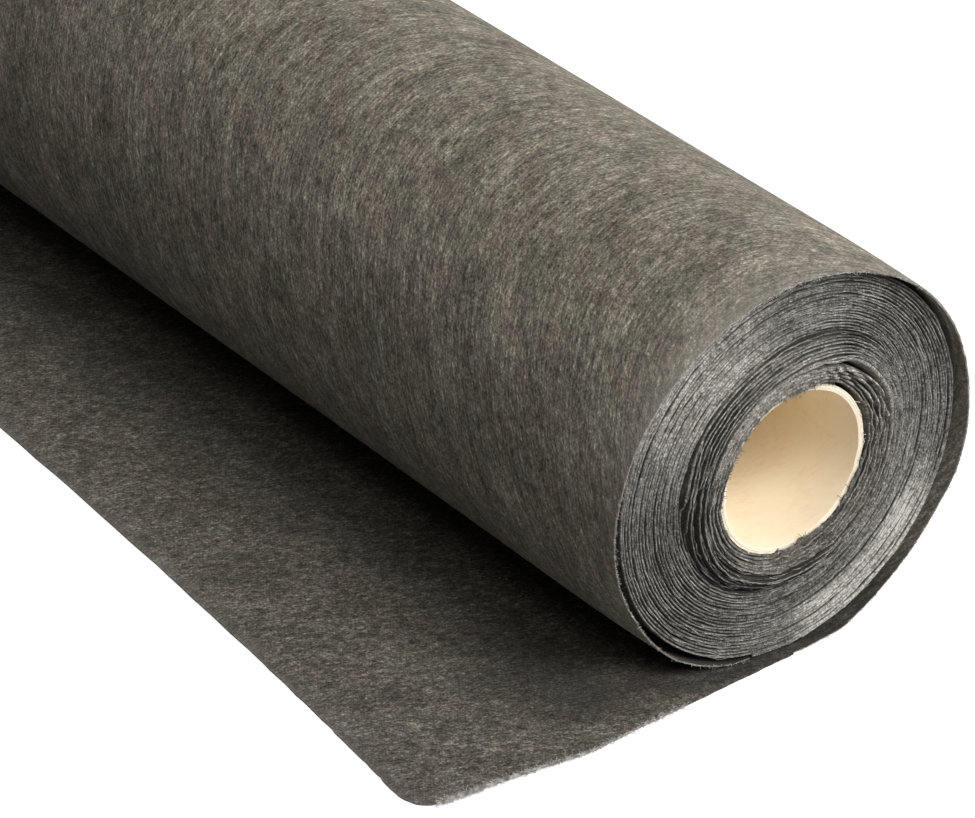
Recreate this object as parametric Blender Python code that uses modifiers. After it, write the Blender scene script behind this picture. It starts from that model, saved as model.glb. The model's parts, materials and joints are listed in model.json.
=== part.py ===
"""A roll of non-woven ground sheet on a cardboard tube, with its free end laid out on the ground.

Metres, +Z up. The tube lies along X, its near end at +X. The free end runs out towards -Y. The web comes in
along the ground, goes under the roll, up its +Y side and over the top, and winds inwards from there.
Paths round the roll are given by an angle about the tube's axis: 0 is towards +Y and 90 degrees is up.
"""
import math

import bmesh
import bpy
from mathutils import Vector

# The web
WEB_WIDTH = 1.000
WEB_THICKNESS = 0.0010
SEAT_GAP = 0.0003            # between pieces that touch

# The tube, and the tape that holds the start of the web on it
TUBE_BORE_RADIUS = 0.0250
TUBE_WALL = 0.0020
TUBE_PROUD = 0.0015          # past the wound web at both ends
TAPE_THICKNESS = 0.0002
TAPE_WIDTH = 0.050           # round the tube
TAPE_LENGTH = 0.900          # along the tube

# The wound web
WOUND_RADIUS = 0.0630        # of its outer turn, at that turn's end
INNER_TURN_PROUD = 0.0045    # how far the inner turns are pushed out
PROUD_RADIUS = 0.0353        # the inner turns are pushed out all the way up to here
FLUSH_RADIUS = 0.0419        # and from here on the turns are flush

# The loose turn
LOOSE_SLACK = 0.0015         # between the wound web and the loose turn
LOOSE_DROP = 0.0004          # how far the loose turn hangs below the tube's axis
GROUND_FLAT = 0.0009         # how far the ground presses it flat

# The free end on the ground
SIDE_REACH = 0.0120          # how far its side edge lies past the wound web
UNDER_ROLL = 0.0080          # how far it runs past the line under the axis
FREE_LENGTH = 0.1100         # from the line under the axis to its far corner
SKEW_LENGTH = 0.0310         # how much more there is at its near corner
SKEW_FADE = 0.2300           # the distance over which that is lost
CORNER_RADIUS = 0.0060

# Counts and angles
WOUND_TURNS = 23
WOUND_STEPS = 24             # a turn
LOOSE_STEPS = 48             # a turn
TAPE_STEPS = 24              # a turn
TUBE_STEPS = 48
CORNER_STEPS = 4
LEADING_STEPS = 14
TURN = 2 * math.pi
DOWN_ANGLE = -math.pi / 2
WEB_END_ANGLE = math.radians(260)   # where the wound web ends and the loose turn takes over
MERGE_DISTANCE = 0.00001

# Colours and finishes: red, green, blue, roughness
WEB_COLOUR = (0.070, 0.066, 0.060, 0.95)
CARDBOARD_COLOUR = (0.600, 0.460, 0.310, 0.85)
TAPE_COLOUR = (0.750, 0.700, 0.550, 0.60)

# Sizes that follow
TUBE_RADIUS = TUBE_BORE_RADIUS + TUBE_WALL
TUBE_LENGTH = WEB_WIDTH + 2 * TUBE_PROUD
HALF_WEB = WEB_THICKNESS / 2
HALF_WIDTH = WEB_WIDTH / 2
TAPE_MIDDLE = TUBE_RADIUS + SEAT_GAP + TAPE_THICKNESS / 2
FIRST_MIDDLE = TUBE_RADIUS + 2 * SEAT_GAP + TAPE_THICKNESS + HALF_WEB
FIRST_CORNER = FIRST_MIDDLE / math.cos(math.pi / WOUND_STEPS)
LAST_CORNER = WOUND_RADIUS - HALF_WEB
PITCH = (LAST_CORNER - FIRST_CORNER) / WOUND_TURNS
LOOSE_RADIUS = WOUND_RADIUS + LOOSE_SLACK + WEB_THICKNESS
AXIS_HEIGHT = LOOSE_RADIUS + LOOSE_DROP - GROUND_FLAT    # of the tube's axis above the ground
LOOSE_START = DOWN_ANGLE + math.atan2(UNDER_ROLL + SEAT_GAP, AXIS_HEIGHT - HALF_WEB)


def clear_scene():
    for thing in list(bpy.data.objects):
        bpy.data.objects.remove(thing, do_unlink=True)


def material(name, colour):
    """A matt material from red, green, blue and roughness."""
    made = bpy.data.materials.new(name)
    made.use_nodes = True
    shader = made.node_tree.nodes["Principled BSDF"]
    shader.inputs["Base Color"].default_value = (*colour[:3], 1)
    shader.inputs["Roughness"].default_value = colour[3]
    shader.inputs["Metallic"].default_value = 0
    made.diffuse_color = (*colour[:3], 1)
    return made


def finish(thing, place, finish_material, collection, carrier):
    """Puts a piece at its place, under its carrier, with its material."""
    thing.location = place
    thing.data.materials.append(finish_material)
    for other in list(thing.users_collection):
        other.objects.unlink(thing)
    collection.objects.link(thing)
    thing.parent = carrier
    thing.matrix_parent_inverse = carrier.matrix_world.inverted()
    return thing


def web_strip(name, path, thickness, width):
    """A strip along a path of (shift, y, z) points, extruded across its width and given its thickness."""
    sheet = bmesh.new()
    near = [sheet.verts.new((width / 2 + shift, y, z)) for shift, y, z in path]
    edges = [sheet.edges.new(pair) for pair in zip(near, near[1:])]
    far = bmesh.ops.extrude_edge_only(sheet, edges=edges)["geom"]
    far = [part for part in far if isinstance(part, bmesh.types.BMVert)]
    bmesh.ops.translate(sheet, verts=far, vec=Vector((-width, 0, 0)))
    bmesh.ops.recalc_face_normals(sheet, faces=sheet.faces)
    mesh = bpy.data.meshes.new(name)
    sheet.to_mesh(mesh)
    sheet.free()
    mesh.shade_smooth()
    mesh.set_sharp_from_angle(angle=math.radians(40))
    strip = bpy.data.objects.new(name, mesh)
    bpy.context.scene.collection.objects.link(strip)
    wall = strip.modifiers.new("thickness", "SOLIDIFY")
    wall.thickness = thickness
    wall.offset = 0
    wall.use_even_offset = True
    return strip


def smooth_step(share):
    share = min(max(share, 0), 1)
    return share * share * (3 - 2 * share)


def proud_by(radius):
    """How far a turn of this radius is pushed out along the tube."""
    return INNER_TURN_PROUD * smooth_step((FLUSH_RADIUS - radius) / (FLUSH_RADIUS - PROUD_RADIUS))


def wound_path():
    """The wound web from its start on the tube to its outer end, one step at a time."""
    path = []
    for step in range(WOUND_TURNS * WOUND_STEPS + 1):
        turns = step / WOUND_STEPS
        radius = FIRST_CORNER + PITCH * turns
        angle = WEB_END_ANGLE - turns * TURN
        path.append((proud_by(radius), radius * math.cos(angle), radius * math.sin(angle)))
    return path


def least_gap(path):
    """The least distance between one turn's surface and the next, measured on corners and mid-chords."""
    points = [Vector(point[1:]) for point in path]
    least = math.inf
    for start, (here, after) in enumerate(zip(points, points[1:])):
        for sample in (here, (here + after) / 2):
            for end in range(start + WOUND_STEPS - 2, min(start + WOUND_STEPS + 3, len(points) - 1)):
                chord = points[end + 1] - points[end]
                share = (sample - points[end]).dot(chord) / chord.length_squared
                share = min(max(share, 0), 1)
                least = min(least, (points[end] + chord * share - sample).length)
    return least - WEB_THICKNESS


def loose_radius(angle):
    """The middle of the loose turn: a slack circle that rests on the ground and, at its end, on the free end."""
    radius = LOOSE_RADIUS - LOOSE_DROP * math.sin(angle) - HALF_WEB
    if math.sin(angle) < 0:
        under = HALF_WEB if angle < math.pi else HALF_WEB + WEB_THICKNESS + SEAT_GAP
        radius = min(radius, (AXIS_HEIGHT - under) / -math.sin(angle))
    return radius


def loose_path():
    """The loose turn from the ground, up the +Y side and over the top to its inner end."""
    sweep = WEB_END_ANGLE - LOOSE_START
    steps = math.ceil(LOOSE_STEPS * sweep / TURN)
    path = []
    for step in range(steps + 1):
        share = step / steps
        angle = LOOSE_START + sweep * share
        radius = loose_radius(angle)
        shift = SIDE_REACH * (1 - share) ** 2
        path.append((shift, radius * math.cos(angle), radius * math.sin(angle)))
    return path


def tape_path():
    sweep = TAPE_WIDTH / TAPE_MIDDLE
    steps = math.ceil(TAPE_STEPS * sweep / TURN)
    angles = [WEB_END_ANGLE - sweep * step / steps for step in range(steps + 1)]
    return [(0, TAPE_MIDDLE * math.cos(angle), TAPE_MIDDLE * math.sin(angle)) for angle in angles]


def leading_y(inset):
    """The leading edge's place, at a distance in from the near side edge."""
    return -FREE_LENGTH - SKEW_LENGTH * math.exp(-inset / SKEW_FADE)


def laid_outline():
    """The free end's outline on the ground, with x from the middle of the wound web and y from the axis."""
    near, far = HALF_WIDTH + SIDE_REACH, SIDE_REACH - HALF_WIDTH
    turn_in = Vector((near - CORNER_RADIUS, leading_y(CORNER_RADIUS) + CORNER_RADIUS))
    outline = [(far, UNDER_ROLL), (near, UNDER_ROLL)]
    for step in range(CORNER_STEPS + 1):
        angle = -math.pi / 2 * step / CORNER_STEPS
        outline.append((turn_in.x + CORNER_RADIUS * math.cos(angle), turn_in.y + CORNER_RADIUS * math.sin(angle)))
    run = WEB_WIDTH - CORNER_RADIUS
    for step in range(1, LEADING_STEPS + 1):
        inset = CORNER_RADIUS + run * (step / LEADING_STEPS) ** 2
        outline.append((near - inset, leading_y(inset)))
    return outline


def laid_sheet(name, outline):
    """The free end: its flat outline, filled and extruded to the web's thickness."""
    curve = bpy.data.curves.new(name, "CURVE")
    curve.dimensions = "2D"
    curve.fill_mode = "BOTH"
    curve.extrude = HALF_WEB
    spline = curve.splines.new("POLY")
    spline.points.add(len(outline) - 1)
    for point, (x, y) in zip(spline.points, outline):
        point.co = (x, y, 0, 1)
    spline.use_cyclic_u = True
    sheet = bpy.data.objects.new(name, curve)
    bpy.context.scene.collection.objects.link(sheet)
    weld = sheet.modifiers.new("caps", "WELD")
    weld.merge_threshold = MERGE_DISTANCE
    return sheet


def core_tube(name):
    """The tube: one corner of its wall extruded along it, then turned round X."""
    profile = bmesh.new()
    corners = [
        (TUBE_LENGTH / 2, TUBE_RADIUS),
        (-TUBE_LENGTH / 2, TUBE_RADIUS),
        (-TUBE_LENGTH / 2, TUBE_BORE_RADIUS),
        (TUBE_LENGTH / 2, TUBE_BORE_RADIUS),
    ]
    ring = [profile.verts.new((x, 0, z)) for x, z in corners]
    for here, after in zip(ring, ring[1:] + ring[:1]):
        profile.edges.new((here, after))
    mesh = bpy.data.meshes.new(name)
    profile.to_mesh(mesh)
    profile.free()
    tube = bpy.data.objects.new(name, mesh)
    bpy.context.scene.collection.objects.link(tube)
    turned = tube.modifiers.new("turned", "SCREW")
    turned.axis = "X"
    turned.steps = TUBE_STEPS
    turned.render_steps = TUBE_STEPS
    turned.use_merge_vertices = True
    turned.merge_threshold = MERGE_DISTANCE
    return tube


def empty(name, place, collection):
    carrier = bpy.data.objects.new(name, None)
    carrier.location = place
    collection.objects.link(carrier)
    bpy.context.view_layer.update()
    return carrier


def build():
    clear_scene()
    collection = bpy.data.collections.new("geotextile_roll")
    bpy.context.scene.collection.children.link(collection)
    web = material("web", WEB_COLOUR)
    cardboard = material("cardboard", CARDBOARD_COLOUR)
    tape = material("tape", TAPE_COLOUR)

    outline = laid_outline()
    wound = wound_path()
    loose = loose_path()
    front = min(y for x, y in outline)
    back = max(y for shift, y, z in loose) + HALF_WEB
    middle_x = -(SIDE_REACH - TUBE_PROUD) / 2
    middle_y = -(front + back) / 2

    ground = empty("ground", Vector((middle_x, middle_y, 0)), collection)
    axis = empty("roll_axis", Vector((middle_x, middle_y, AXIS_HEIGHT)), collection)

    finish(core_tube("core_tube"), axis.location, cardboard, collection, axis)
    taped = web_strip("start_tape", tape_path(), TAPE_THICKNESS, TAPE_LENGTH)
    finish(taped, axis.location, tape, collection, axis)
    finish(web_strip("wound_web", wound, WEB_THICKNESS, WEB_WIDTH), axis.location, web, collection, axis)
    finish(web_strip("loose_turn", loose, WEB_THICKNESS, WEB_WIDTH), axis.location, web, collection, axis)
    laid_place = ground.location + Vector((0, 0, HALF_WEB))
    finish(laid_sheet("laid_end", outline), laid_place, web, collection, ground)

    print("axis at", [round(value, 5) for value in axis.location])
    print("least gap between turns, mm:", round(least_gap(wound) * 1000, 3))
    length = sum((Vector(b[1:]) - Vector(a[1:])).length for a, b in zip(wound, wound[1:]))
    print("web wound here, m:", round(length, 3))


build()
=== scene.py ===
"""The looks of a roll of dark non-woven ground sheet on a cardboard tube, its free end laid on the ground.

Metres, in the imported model's frame: +X along the tube to its near end, -Y along the free end, +Z up.
Places round the roll are angles about the tube's axis: 0 is towards +Y and 90 degrees is up. The web comes in
along the ground, goes up the +Y side and over the top, and winds inwards from there.
"""
import json
import math

import bpy
import numpy as np
from mathutils import Matrix, Vector


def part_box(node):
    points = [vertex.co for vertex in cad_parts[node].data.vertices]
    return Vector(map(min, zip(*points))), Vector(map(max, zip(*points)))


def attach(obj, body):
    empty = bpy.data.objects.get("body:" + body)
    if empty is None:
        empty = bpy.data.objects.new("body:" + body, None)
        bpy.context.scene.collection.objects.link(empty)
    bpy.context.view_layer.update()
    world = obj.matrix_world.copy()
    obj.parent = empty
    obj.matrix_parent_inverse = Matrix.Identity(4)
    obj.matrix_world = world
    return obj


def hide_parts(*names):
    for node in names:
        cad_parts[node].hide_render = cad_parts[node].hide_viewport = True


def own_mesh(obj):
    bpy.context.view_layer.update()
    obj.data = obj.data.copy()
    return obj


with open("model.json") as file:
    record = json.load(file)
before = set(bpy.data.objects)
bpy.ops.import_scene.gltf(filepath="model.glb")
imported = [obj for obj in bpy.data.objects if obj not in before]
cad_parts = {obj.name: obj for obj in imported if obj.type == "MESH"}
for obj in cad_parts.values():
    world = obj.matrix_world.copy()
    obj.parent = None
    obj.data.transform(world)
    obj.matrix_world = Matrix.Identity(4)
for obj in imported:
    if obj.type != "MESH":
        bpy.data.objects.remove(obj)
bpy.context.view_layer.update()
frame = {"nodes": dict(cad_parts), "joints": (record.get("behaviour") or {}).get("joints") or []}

MM = 0.001
TURN = 2 * math.pi

# The frame's own places
HINGE = next(joint for joint in frame["joints"] if joint["name"] == "roll_turn")
SLIDE = next(joint for joint in frame["joints"] if joint["name"] == "roll_travel")
AXIS = Vector(HINGE["pos_m"])
TUBE_LOW, TUBE_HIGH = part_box("core_tube")
SHEET_LOW, SHEET_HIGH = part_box("laid_end")
WEB_WIDTH = SHEET_HIGH.x - SHEET_LOW.x
HALF_WIDTH = WEB_WIDTH / 2
NEAR_END = AXIS.x + HALF_WIDTH
FAR_END = AXIS.x - HALF_WIDTH
SIDE_REACH = SHEET_HIGH.x - NEAR_END

# The web
WEB_THICKNESS = 1.0 * MM
CLEARANCE = 0.3 * MM

# The wound turns, as many as the end face shows
WOUND_TURNS = 36
WOUND_STEPS = 144            # a turn
WOUND_WALL = 0.84 * MM
FIRST_RADIUS = 27.85 * MM    # middle of the turn on the tube
LAST_RADIUS = 61.9 * MM      # middle of the outer turn, at its end
SETTLED = 1.25 * MM          # how far the outer turns have settled off the tube's axis
SETTLED_WAY = math.radians(218)
TUBE_SETTLED = 0.7 * MM      # and the tube, with the turns next to it
TUBE_SETTLED_WAY = math.radians(210)
WEB_END = math.radians(264)  # where the loose turn takes over

# The photograph's view
IMAGE_WIDTH = 975
IMAGE_HEIGHT = 818
SENSOR_WIDTH = 36
FOCAL_PIXELS = 4873.84
AIM_PIXEL = (791.3, 465.9)
VIEW_AZIMUTH = 0.858
VIEW_ELEVATION = 0.499
VIEW_ROLL = 0.096
VIEW_DISTANCE = 1.41072


WAVE_DRAWS = 4099            # values that a wave runs through before it repeats
SOFT_ANGLE = math.radians(50)    # edges sharper than this stay crisp
MERGE_GAP = 0.002 * MM


def deselect():
    bpy.ops.object.select_all(action="DESELECT")


def pick(piece):
    """Makes the piece the active one, and the only one selected."""
    deselect()
    piece.select_set(True)
    bpy.context.view_layer.objects.active = piece


def smooth(share):
    """A smooth rise from 0 to 1."""
    share = np.clip(share, 0, 1)
    return share * share * (3 - 2 * share)


def wave(place, seed, scale):
    """A smooth wandering value from -1 to 1 along place, whose bends are about scale long."""
    draw = np.random.default_rng(seed).uniform(-1, 1, WAVE_DRAWS)
    at = np.asarray(place, float) / scale
    low = np.floor(at).astype(int)
    share = smooth(at - low)
    return draw[low % WAVE_DRAWS] * (1 - share) + draw[(low + 1) % WAVE_DRAWS] * share


def waves(place, seed, *parts):
    """The sum of waves along place, each given as its height and its scale, on seeds that follow on."""
    return sum(height * wave(place, seed + index, scale) for index, (height, scale) in enumerate(parts))


def degrees_past(angle, middle):
    """How many degrees an angle lies past the middle, from -180 to 180."""
    return (np.degrees(angle) - middle + 180) % 360 - 180


def round_the_tube(x, radius, angle):
    """Points from their place along the tube, their radius and their angle, one to a row."""
    return np.stack([x, AXIS.y + radius * np.cos(angle), AXIS.z + radius * np.sin(angle)], axis=1)


# Shapes

def flat_grid(name, steps_along, steps_across):
    """A flat grid with its length along x, both from 0 to 1, that the piece is then shaped from."""
    deselect()
    bpy.ops.mesh.primitive_grid_add(
        x_subdivisions=steps_along, y_subdivisions=steps_across, size=1, calc_uvs=True, location=(0, 0, 0)
    )
    grid = bpy.context.active_object
    grid.name = name
    return grid


def points_of(mesh):
    """The mesh's points, one to a row."""
    places = np.zeros(len(mesh.vertices) * 3)
    mesh.vertices.foreach_get("co", places)
    return places.reshape(-1, 3)


def shares_of(grid):
    """How far along and how far across each point of a flat grid lies, from 0 to 1."""
    places = points_of(grid.data)
    return places[:, 0] + 0.5, places[:, 1] + 0.5


def shape(grid, places, along, across):
    """Moves the grid's points, and gives it a map of its length and width in metres."""
    mesh = grid.data
    index = np.zeros(len(mesh.loops), int)
    mesh.loops.foreach_get("vertex_index", index)
    lay = np.stack([along[index], across[index]], axis=1)
    mesh.uv_layers[0].name = "cloth"
    mesh.uv_layers[0].data.foreach_set("uv", lay.ravel())
    mesh.vertices.foreach_set("co", np.asarray(places, float).ravel())
    mesh.update()


def mark(grid, name, values):
    """Keeps a number at each of the grid's points, for its material."""
    grid.data.attributes.new(name, "FLOAT", "POINT").data.foreach_set("value", np.asarray(values, float))


def close_up(piece, fill):
    """Merges the seam of a closed piece, can fill the holes at its ends, and turns its faces outwards."""
    pick(piece)
    bpy.ops.object.mode_set(mode="EDIT")
    bpy.ops.mesh.select_all(action="SELECT")
    bpy.ops.mesh.remove_doubles(threshold=MERGE_GAP)
    if fill:
        bpy.ops.mesh.select_all(action="SELECT")
        bpy.ops.mesh.fill_holes(sides=0)
    bpy.ops.mesh.select_all(action="SELECT")
    bpy.ops.mesh.normals_make_consistent(inside=False)
    bpy.ops.object.mode_set(mode="OBJECT")
    bpy.ops.object.shade_smooth_by_angle(angle=SOFT_ANGLE)


def thicken(piece, thickness, bevel):
    """Gives an open surface its thickness, half to either side, and rounds its rim."""
    pick(piece)
    wall = piece.modifiers.new("wall", "SOLIDIFY")
    wall.thickness = thickness
    wall.offset = 0
    wall.use_even_offset = True
    bpy.ops.object.modifier_apply(modifier=wall.name)
    rim = piece.modifiers.new("rim", "BEVEL")
    rim.width = bevel
    rim.segments = 2
    rim.limit_method = "ANGLE"
    rim.angle_limit = math.radians(60)
    bpy.ops.object.modifier_apply(modifier=rim.name)
    bpy.ops.object.shade_smooth_by_angle(angle=SOFT_ANGLE)


# The wound web

GROOVE_RADII = (46.0 * MM, 50.4 * MM, 54.4 * MM, 58.6 * MM)
GROOVE_GAP = 0.13 * MM
PROUD_REACH = 4.8 * MM       # how far the inner turns are pushed out
# How the turns rise to it: share of the way in from the flush turns, share of the reach
FLANK = ((0.0, 0.0), (0.03, 0.36), (0.14, 0.50), (0.30, 0.68), (0.60, 0.90), (1.0, 1.0))
# They rise more evenly about this angle, in degrees, as far as this to either side
EVEN_RISE = 108
EVEN_RISE_HALF = 66
PROUD_RADIUS = 35.0 * MM
SPRUNG_RADIUS = 33.3 * MM    # the turn that has sprung away from those inside it
BULGE_END_RADIUS = 57.0 * MM
# By the angle in degrees: how far the sprung turn stands off, in millimetres
SPRUNG_LIFT = ((-180, 0), (-20, 0), (0, 0.6), (8, 1.1), (19, 1.9), (27, 2.4), (42, 2.9), (56, 3.2), (66, 3.1),
               (76, 2.1), (86, 1.2), (100, 0.5), (115, 0.1), (125, 0), (180, 0))
# And the turns inside it, which run straight from the tube to meet it
INNER_LIFT = ((-180, 0), (-24, 0), (0, 0.4), (8, 0.9), (19, 1.6), (27, 1.7), (42, 1.0), (56, 0.4), (72, 0),
              (180, 0))
# The radius at which the pushed out turns are flush with the end face again
FLUSH_RADII = ((-180, 41.4), (-165, 40.2), (-150, 39.4), (-100, 39.0), (-60, 40.0), (0, 41.0), (60, 42.0),
               (120, 42.4), (165, 41.7), (180, 41.4))
# How far the turn on the tube stands out of the end face
TUBE_SIDE_REACH = ((-180, 2.7), (-170, 1.9), (-150, 1.7), (-125, 1.8), (-92, 2.0), (-78, 2.05), (-5, 2.05),
                   (10, 2.2), (45, 2.2), (70, 2.6), (90, 3.1), (109, 3.0), (120, 2.7), (131, 2.6), (149, 3.2),
                   (175, 3.1), (180, 2.7))
# How far its edge leans in over the tube's rim
RIM_LEAN = ((-180, 0.2), (-170, 0), (-98.5, 0), (-97, 2.3), (-86, 2.5), (-78, 2.75), (-68, 2.2), (-59, 1.6),
            (-51, 1.0), (-38, 2.1), (-23, 1.9), (-17, 1.6), (-4, 0.95), (8, 0.4), (20, 0), (78, 0), (92, 1.2),
            (101, 1.2), (109, 0.8), (120, 0.7), (131, 0.9), (149, 0.8), (160, 0.7), (175, 0.5), (180, 0.2))
# The face leans: its +Y side stands out and its -Y side stays back, this much at the outer turns
FACE_LEAN = 1.9 * MM
FACE_LEAN_WAY = math.radians(-25)
FACE_LEAN_FROM = 43 * MM
FACE_LEAN_TO = 62 * MM
# Turns that stay back between the pushed out ones: the turn, counted inwards, how far in millimetres, and to
# what angle in degrees
HELD_BACK = ((25, 1.35, 300), (27, 1.35, 300), (29, 1.2, 300), (30, 1.35, 300), (32, 1.2, 245),
             (34, 1.1, 240))
HELD_FROM = 172
COUNT_FROM = 100             # a turn counts from this angle
# The turns inside the sprung one are creased between these angles, by ridges that lie across this way
CREASED = ((-180, 0), (6, 0), (18, 0.7), (70, 0.7), (84, 0), (180, 0))
CREASE_WAY = math.radians(39.4)
CREASE_SPACING = 2.5 * MM
# Where the cut edge is paler or darker: partly its fuzz, and partly painted light on the lit lips and painted
# shade, as in the shadow band below the ring: angle in degrees, radius in millimetres, the half width of
# each, and how much
FUZZ_AND_SHADING_PATCHES = (
    (140, 51, 34, 11, 0.85), (-52, 57, 32, 6, 1.25), (-15, 49, 34, 9, 0.30), (85, 56, 50, 9, -0.22),
    (190, 55, 30, 9, -0.15), (255, 53, 34, 8, -0.42), (118, 32, 40, 5, 0.45), (258, 38.0, 44, 2.2, -0.9),
    (55, 41.5, 34, 1.6, -0.80), (42, 34.0, 42, 0.7, 0.7), (245, 35.4, 50, 0.6, 0.3),
    (-42, 27.6, 38, 0.9, -0.7),
)
# And where shade is painted on the surfaces below the cut edge, and light where the amount is under 0
SHADED_PATCHES = (
    (180, 37.9, 54, 2.7, 0.60), (252, 37.9, 42, 2.6, 1.0), (66, 41.6, 44, 1.1, 0.5),
    (45, 33.9, 44, 0.7, -1.3), (226, 62.9, 40, 0.5, 0.6),
)
# The web's two cut ends, each a loop over its wall: depth in millimetres, side of the wall
NEAR_LIP = ((6.0, 1.0), (1.5, 0.98), (0.5, 0.80), (0.12, 0.46), (0.0, 0.0), (0.16, -0.50), (0.6, -0.86),
            (1.5, -0.98), (6.0, -1.0))
FAR_LIP = ((0.9, -1.0), (0.15, -0.7), (0.0, 0.1), (0.9, 1.0))


def patches(table, radius, angle):
    """The sum of a table's patches at a place on the end face."""
    amount = np.zeros_like(radius)
    for middle, ring, half_turn, half_ring, more in table:
        round_by = np.abs(degrees_past(angle, middle)) / half_turn
        across = np.abs(radius / MM - ring) / half_ring
        amount = amount + more * smooth((1.4 - round_by) / 0.8) * smooth((1.4 - across) / 0.8)
    return amount


def held_back(angle):
    """How far a turn stays back, and 1 where it does."""
    count = np.floor((angle - math.radians(COUNT_FROM)) / TURN)
    round_by = COUNT_FROM + (np.degrees(angle) - COUNT_FROM) % 360
    back, held = np.zeros_like(angle), np.zeros_like(angle)
    for number, depth, end in HELD_BACK:
        share = (count == number) * smooth((round_by - HELD_FROM + 1) / 3) * smooth((end - round_by) / 25)
        back, held = back + depth * MM * share, held + share
    return back, held


def by_angle(table, angle):
    """A value from a table of angles in degrees and millimetres, in metres."""
    return np.interp(degrees_past(angle, 0), *zip(*table)) * MM


def bulge(radius, angle):
    """The outward push of the turns round the pocket beside the tube."""
    fade = np.clip((BULGE_END_RADIUS - radius) / (BULGE_END_RADIUS - SPRUNG_RADIUS), 0, 1)
    outer = by_angle(SPRUNG_LIFT, angle) * fade ** 1.2 * (radius > SPRUNG_RADIUS)
    share = smooth((radius - FIRST_RADIUS - 0.8 * MM) / (4 * MM)) * (radius <= SPRUNG_RADIUS)
    return outer + by_angle(INNER_LIFT, angle) * share


def wound_radius(turns):
    """The middle of the web after so many turns, a little wider where the end face shows a groove."""
    even = FIRST_RADIUS + (LAST_RADIUS - FIRST_RADIUS) * turns / WOUND_TURNS
    radius = even - GROOVE_GAP * len(GROOVE_RADII) * turns / WOUND_TURNS
    for groove in GROOVE_RADII:
        radius = radius + GROOVE_GAP * smooth((even - groove) / (0.5 * MM) + 0.5)
    return radius


def pushed_out(radius, angle):
    """How far the near edge of a turn of this radius stands out of the end face."""
    flush = by_angle(FLUSH_RADII, angle)
    rise = (flush - radius) / (flush - PROUD_RADIUS)
    even = 0.85 * smooth((EVEN_RISE_HALF - np.abs(degrees_past(angle, EVEN_RISE))) / 24)
    flank = PROUD_REACH * (np.interp(rise, *zip(*FLANK)) * (1 - even) + np.clip(rise, 0, 1) * even)
    foot = np.exp(-((radius - flush - 0.4 * MM) / (0.7 * MM)) ** 2)
    foot = foot * np.cos(np.clip(angle % TURN - 1.4, -1.2, 1.2))
    outer = smooth((radius - FACE_LEAN_FROM) / (FACE_LEAN_TO - FACE_LEAN_FROM))
    lean = FACE_LEAN * np.cos(angle - FACE_LEAN_WAY) * outer
    tube_side = by_angle(TUBE_SIDE_REACH, angle)
    pocket = np.clip(by_angle(SPRUNG_LIFT, angle) / (2 * MM), 0, 1)
    share = np.clip((radius - FIRST_RADIUS) / (PROUD_RADIUS - FIRST_RADIUS), 0, 1)
    sprung = smooth((radius - SPRUNG_RADIUS) / (0.1 * MM) + 0.5)
    share = share ** 1.4 * (1 - pocket) + pocket * (sprung + (1 - sprung) * 0.62 * share)
    inner = tube_side + (PROUD_REACH - tube_side) * share
    return np.where(radius < PROUD_RADIUS, inner, flank + lean - 0.8 * MM * foot * (1 - 0.7 * even))


def creases(radius, angle, length):
    """The ridges across the turns inside the sprung one, from -1 to 1, and how high they are."""
    height = by_angle(CREASED, angle) * smooth((radius - 28.2 * MM) / MM) * (radius < SPRUNG_RADIUS)
    across = radius * np.cos(angle - CREASE_WAY) / CREASE_SPACING
    return np.sin(TURN * across + 1.2 * wave(length, 29, 9 * MM)), height


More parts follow.
